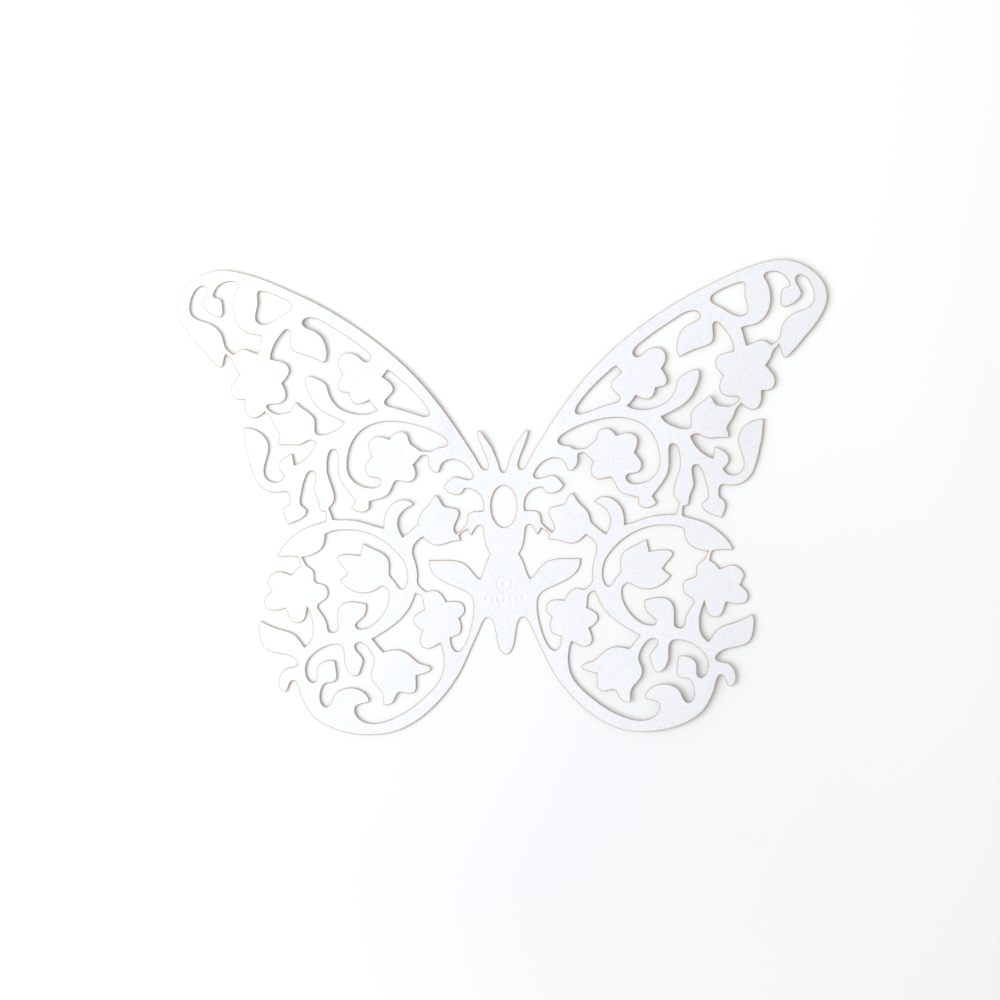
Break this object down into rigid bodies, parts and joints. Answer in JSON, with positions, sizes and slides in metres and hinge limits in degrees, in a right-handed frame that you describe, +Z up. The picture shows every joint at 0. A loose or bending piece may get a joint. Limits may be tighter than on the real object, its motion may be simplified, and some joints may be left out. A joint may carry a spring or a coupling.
{
  "type": "laser-cut paper butterfly embellishment",
  "caption": "Flat filigree butterfly laser cut from one sheet of pearlescent card, with wings and antennae that bend up along creases beside the body.",
  "frame": {"origin": "middle of the outline's box, on the underside of the card", "axes": "+X the butterfly's right side seen from above, +Y towards the head, +Z up out of the pearl side"},
  "size_m": [0.12, 0.0863, 0.0003],
  "materials": {
    "pearl_card": "white pearlescent coated card with laser-browned cut edges"
  },
  "bodies": {
    "body": {"body_panel": "pearl_card"},
    "right_wing": {"right_wing": "pearl_card"},
    "left_wing": {"left_wing": "pearl_card"},
    "right_antenna": {"right_antenna": "pearl_card"},
    "left_antenna": {"left_antenna": "pearl_card"}
  },
  "joints": [
    {"name": "right_wing_crease", "type": "hinge", "parent": "body", "child": "right_wing", "pos_m": [0.00335, 0, 0.00015], "axis": [0, -1, 0], "range_deg": [0, 85]},
    {"name": "left_wing_crease", "type": "hinge", "parent": "body", "child": "left_wing", "pos_m": [-0.00335, 0, 0.00015], "axis": [0, 1, 0], "range_deg": [0, 85]},
    {"name": "right_antenna_crease", "type": "hinge", "parent": "body", "child": "right_antenna", "pos_m": [0.0019, 0.0069, 0.00015], "axis": [0.9205, -0.3907, 0], "range_deg": [0, 60]},
    {"name": "left_antenna_crease", "type": "hinge", "parent": "body", "child": "left_antenna", "pos_m": [-0.0019, 0.0069, 0.00015], "axis": [0.9205, 0.3907, 0], "range_deg": [0, 60]}
  ]
}
